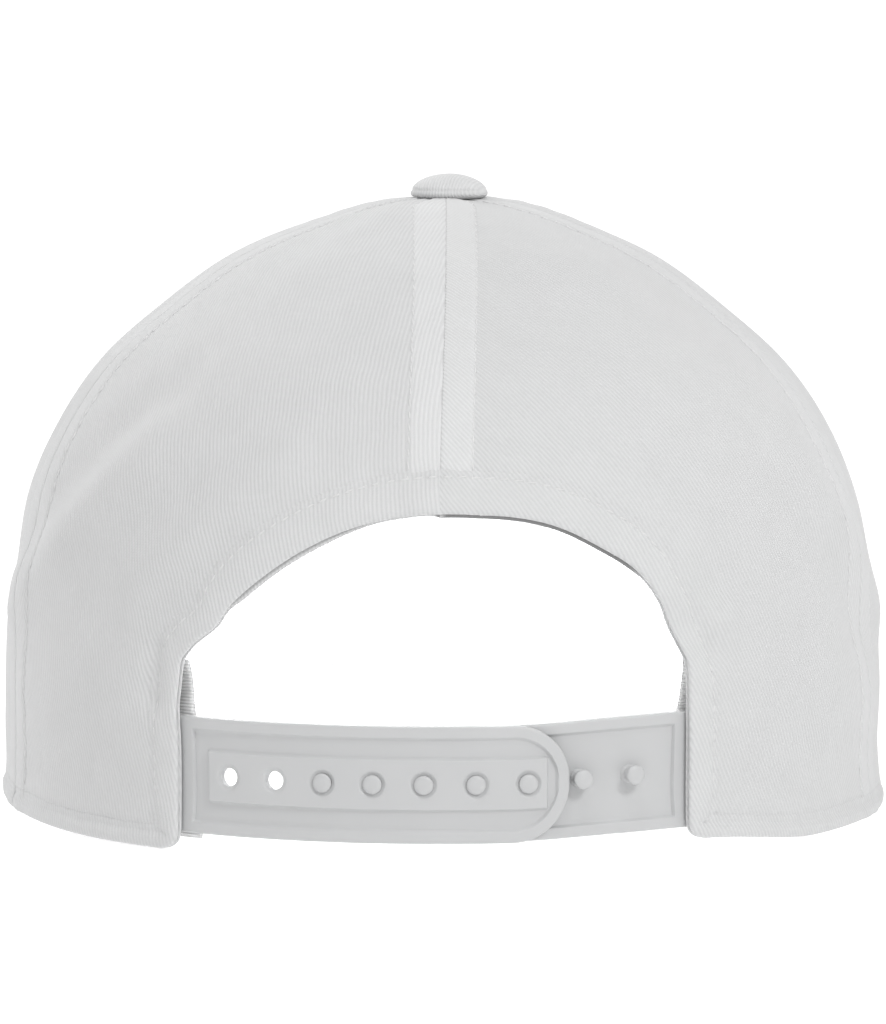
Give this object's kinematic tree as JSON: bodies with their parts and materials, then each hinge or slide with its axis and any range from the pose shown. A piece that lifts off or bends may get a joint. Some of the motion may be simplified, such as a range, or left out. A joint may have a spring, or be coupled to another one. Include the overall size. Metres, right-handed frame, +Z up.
{
  "type": "five panel cap",
  "caption": "Cotton twill cap with a wide front panel, curved peak, covered button, and an arched back closed by a plastic snap strap.",
  "frame": {"origin": "on the floor, in the middle of the box round the whole cap with its peak", "axes": "+Z up, -Y towards the peak, +Y towards the strap, +X towards the wearer's left"},
  "size_m": [0.1758, 0.2644, 0.1252],
  "materials": {
    "twill": "white cotton twill, fine diagonal rib, matt",
    "band_cloth": "white woven band with fine ribs, matt",
    "strap_plastic": "light grey-white moulded plastic, semi matt"
  },
  "bodies": {
    "root": {"back_panel_left": "twill", "back_panel_right": "twill", "side_panel_left": "twill", "side_panel_right": "twill", "front_panel": "twill", "peak": "twill", "top_button": "twill", "sweatband": "band_cloth", "strap_left": "strap_plastic", "strap_right": "strap_plastic"}
  },
  "joints": []
}
